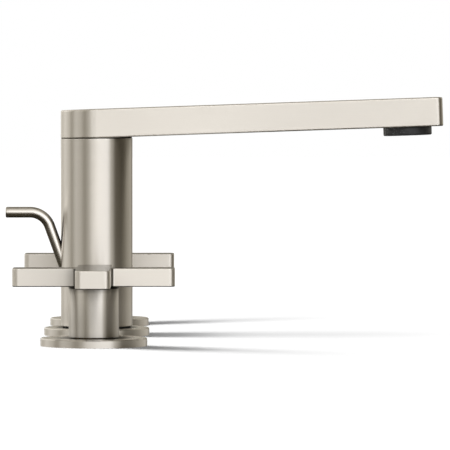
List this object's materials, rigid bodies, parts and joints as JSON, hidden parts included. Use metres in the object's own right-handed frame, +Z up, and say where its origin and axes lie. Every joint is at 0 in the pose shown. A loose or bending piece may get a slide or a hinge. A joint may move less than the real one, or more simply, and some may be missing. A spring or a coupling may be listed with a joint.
{
  "type": "three-hole basin faucet",
  "caption": "Widespread basin faucet: a flat bar spout on a round column, a cross handle on a quarter-turn valve at each side, and a pop-up lift rod.",
  "frame": {"origin": "on the deck's top surface, on the axis of the spout's column", "axes": "+X out along the spout, +Y from the hot valve to the cold one, +Z up"},
  "size_m": [0.2297, 0.2852, 0.2212],
  "materials": {
    "brushed_nickel": "warm brushed nickel, satin",
    "black_plastic": "satin black",
    "grey_plastic": "moulded",
    "black_rubber": "matte",
    "foam_gasket": "closed-cell foam",
    "brass": "machined",
    "copper": "drawn copper tube",
    "zinc_steel": "zinc plated",
    "ceramic": "polished alumina ceramic"
  },
  "bodies": {
    "faucet": {"spout_arm": "brushed_nickel", "tube_seal": "black_rubber", "aerator_housing": "black_plastic", "aerator_grid": "grey_plastic", "aerator_core": "grey_plastic", "aerator_washer": "black_rubber", "spout_column": "brushed_nickel", "base_plug": "brass", "base_seal": "black_rubber", "spout_escutcheon": "brushed_nickel", "spout_gasket": "foam_gasket", "water_tube": "copper", "mounting_stud": "zinc_steel", "clamp_rubber": "black_rubber", "clamp_bracket": "zinc_steel", "stud_nut": "brass", "supply_tee": "brass", "rod_guide": "grey_plastic", "hot_cartridge": "brass", "hot_cartridge_ring": "black_rubber", "hot_fixed_disc": "ceramic", "hot_disc_seal": "black_rubber", "hot_valve_body": "brass", "hot_escutcheon": "brushed_nickel", "hot_gasket": "foam_gasket", "hot_rubber_washer": "black_rubber", "hot_steel_washer": "zinc_steel", "hot_lock_nut": "brass", "cold_cartridge": "brass", "cold_cartridge_ring": "black_rubber", "cold_fixed_disc": "ceramic", "cold_disc_seal": "black_rubber", "cold_valve_body": "brass", "cold_escutcheon": "brushed_nickel", "cold_gasket": "foam_gasket", "cold_rubber_washer": "black_rubber", "cold_steel_washer": "zinc_steel", "cold_lock_nut": "brass"},
    "lift_rod": {"lift_rod": "brushed_nickel"},
    "hot_handle": {"hot_cross": "brushed_nickel", "hot_skirt": "brushed_nickel", "hot_set_screw": "zinc_steel", "hot_stem": "brass", "hot_stem_clip": "zinc_steel", "hot_stem_ring": "black_rubber", "hot_moving_disc": "ceramic"},
    "cold_handle": {"cold_cross": "brushed_nickel", "cold_skirt": "brushed_nickel", "cold_set_screw": "zinc_steel", "cold_stem": "brass", "cold_stem_clip": "zinc_steel", "cold_stem_ring": "black_rubber", "cold_moving_disc": "ceramic"}
  },
  "joints": [
    {"name": "hot_handle_turn", "type": "hinge", "parent": "faucet", "child": "hot_handle", "pos_m": [0, -0.1016, 0.03], "axis": [0, 0, 1], "range_deg": [0, 90]},
    {"name": "cold_handle_turn", "type": "hinge", "parent": "faucet", "child": "cold_handle", "pos_m": [0, 0.1016, 0.03], "axis": [0, 0, -1], "range_deg": [0, 90]},
    {"name": "lift_rod_pull", "type": "slide", "parent": "faucet", "child": "lift_rod", "axis": [-0.342, 0, 0.9397], "range_m": [0, 0.025]}
  ]
}
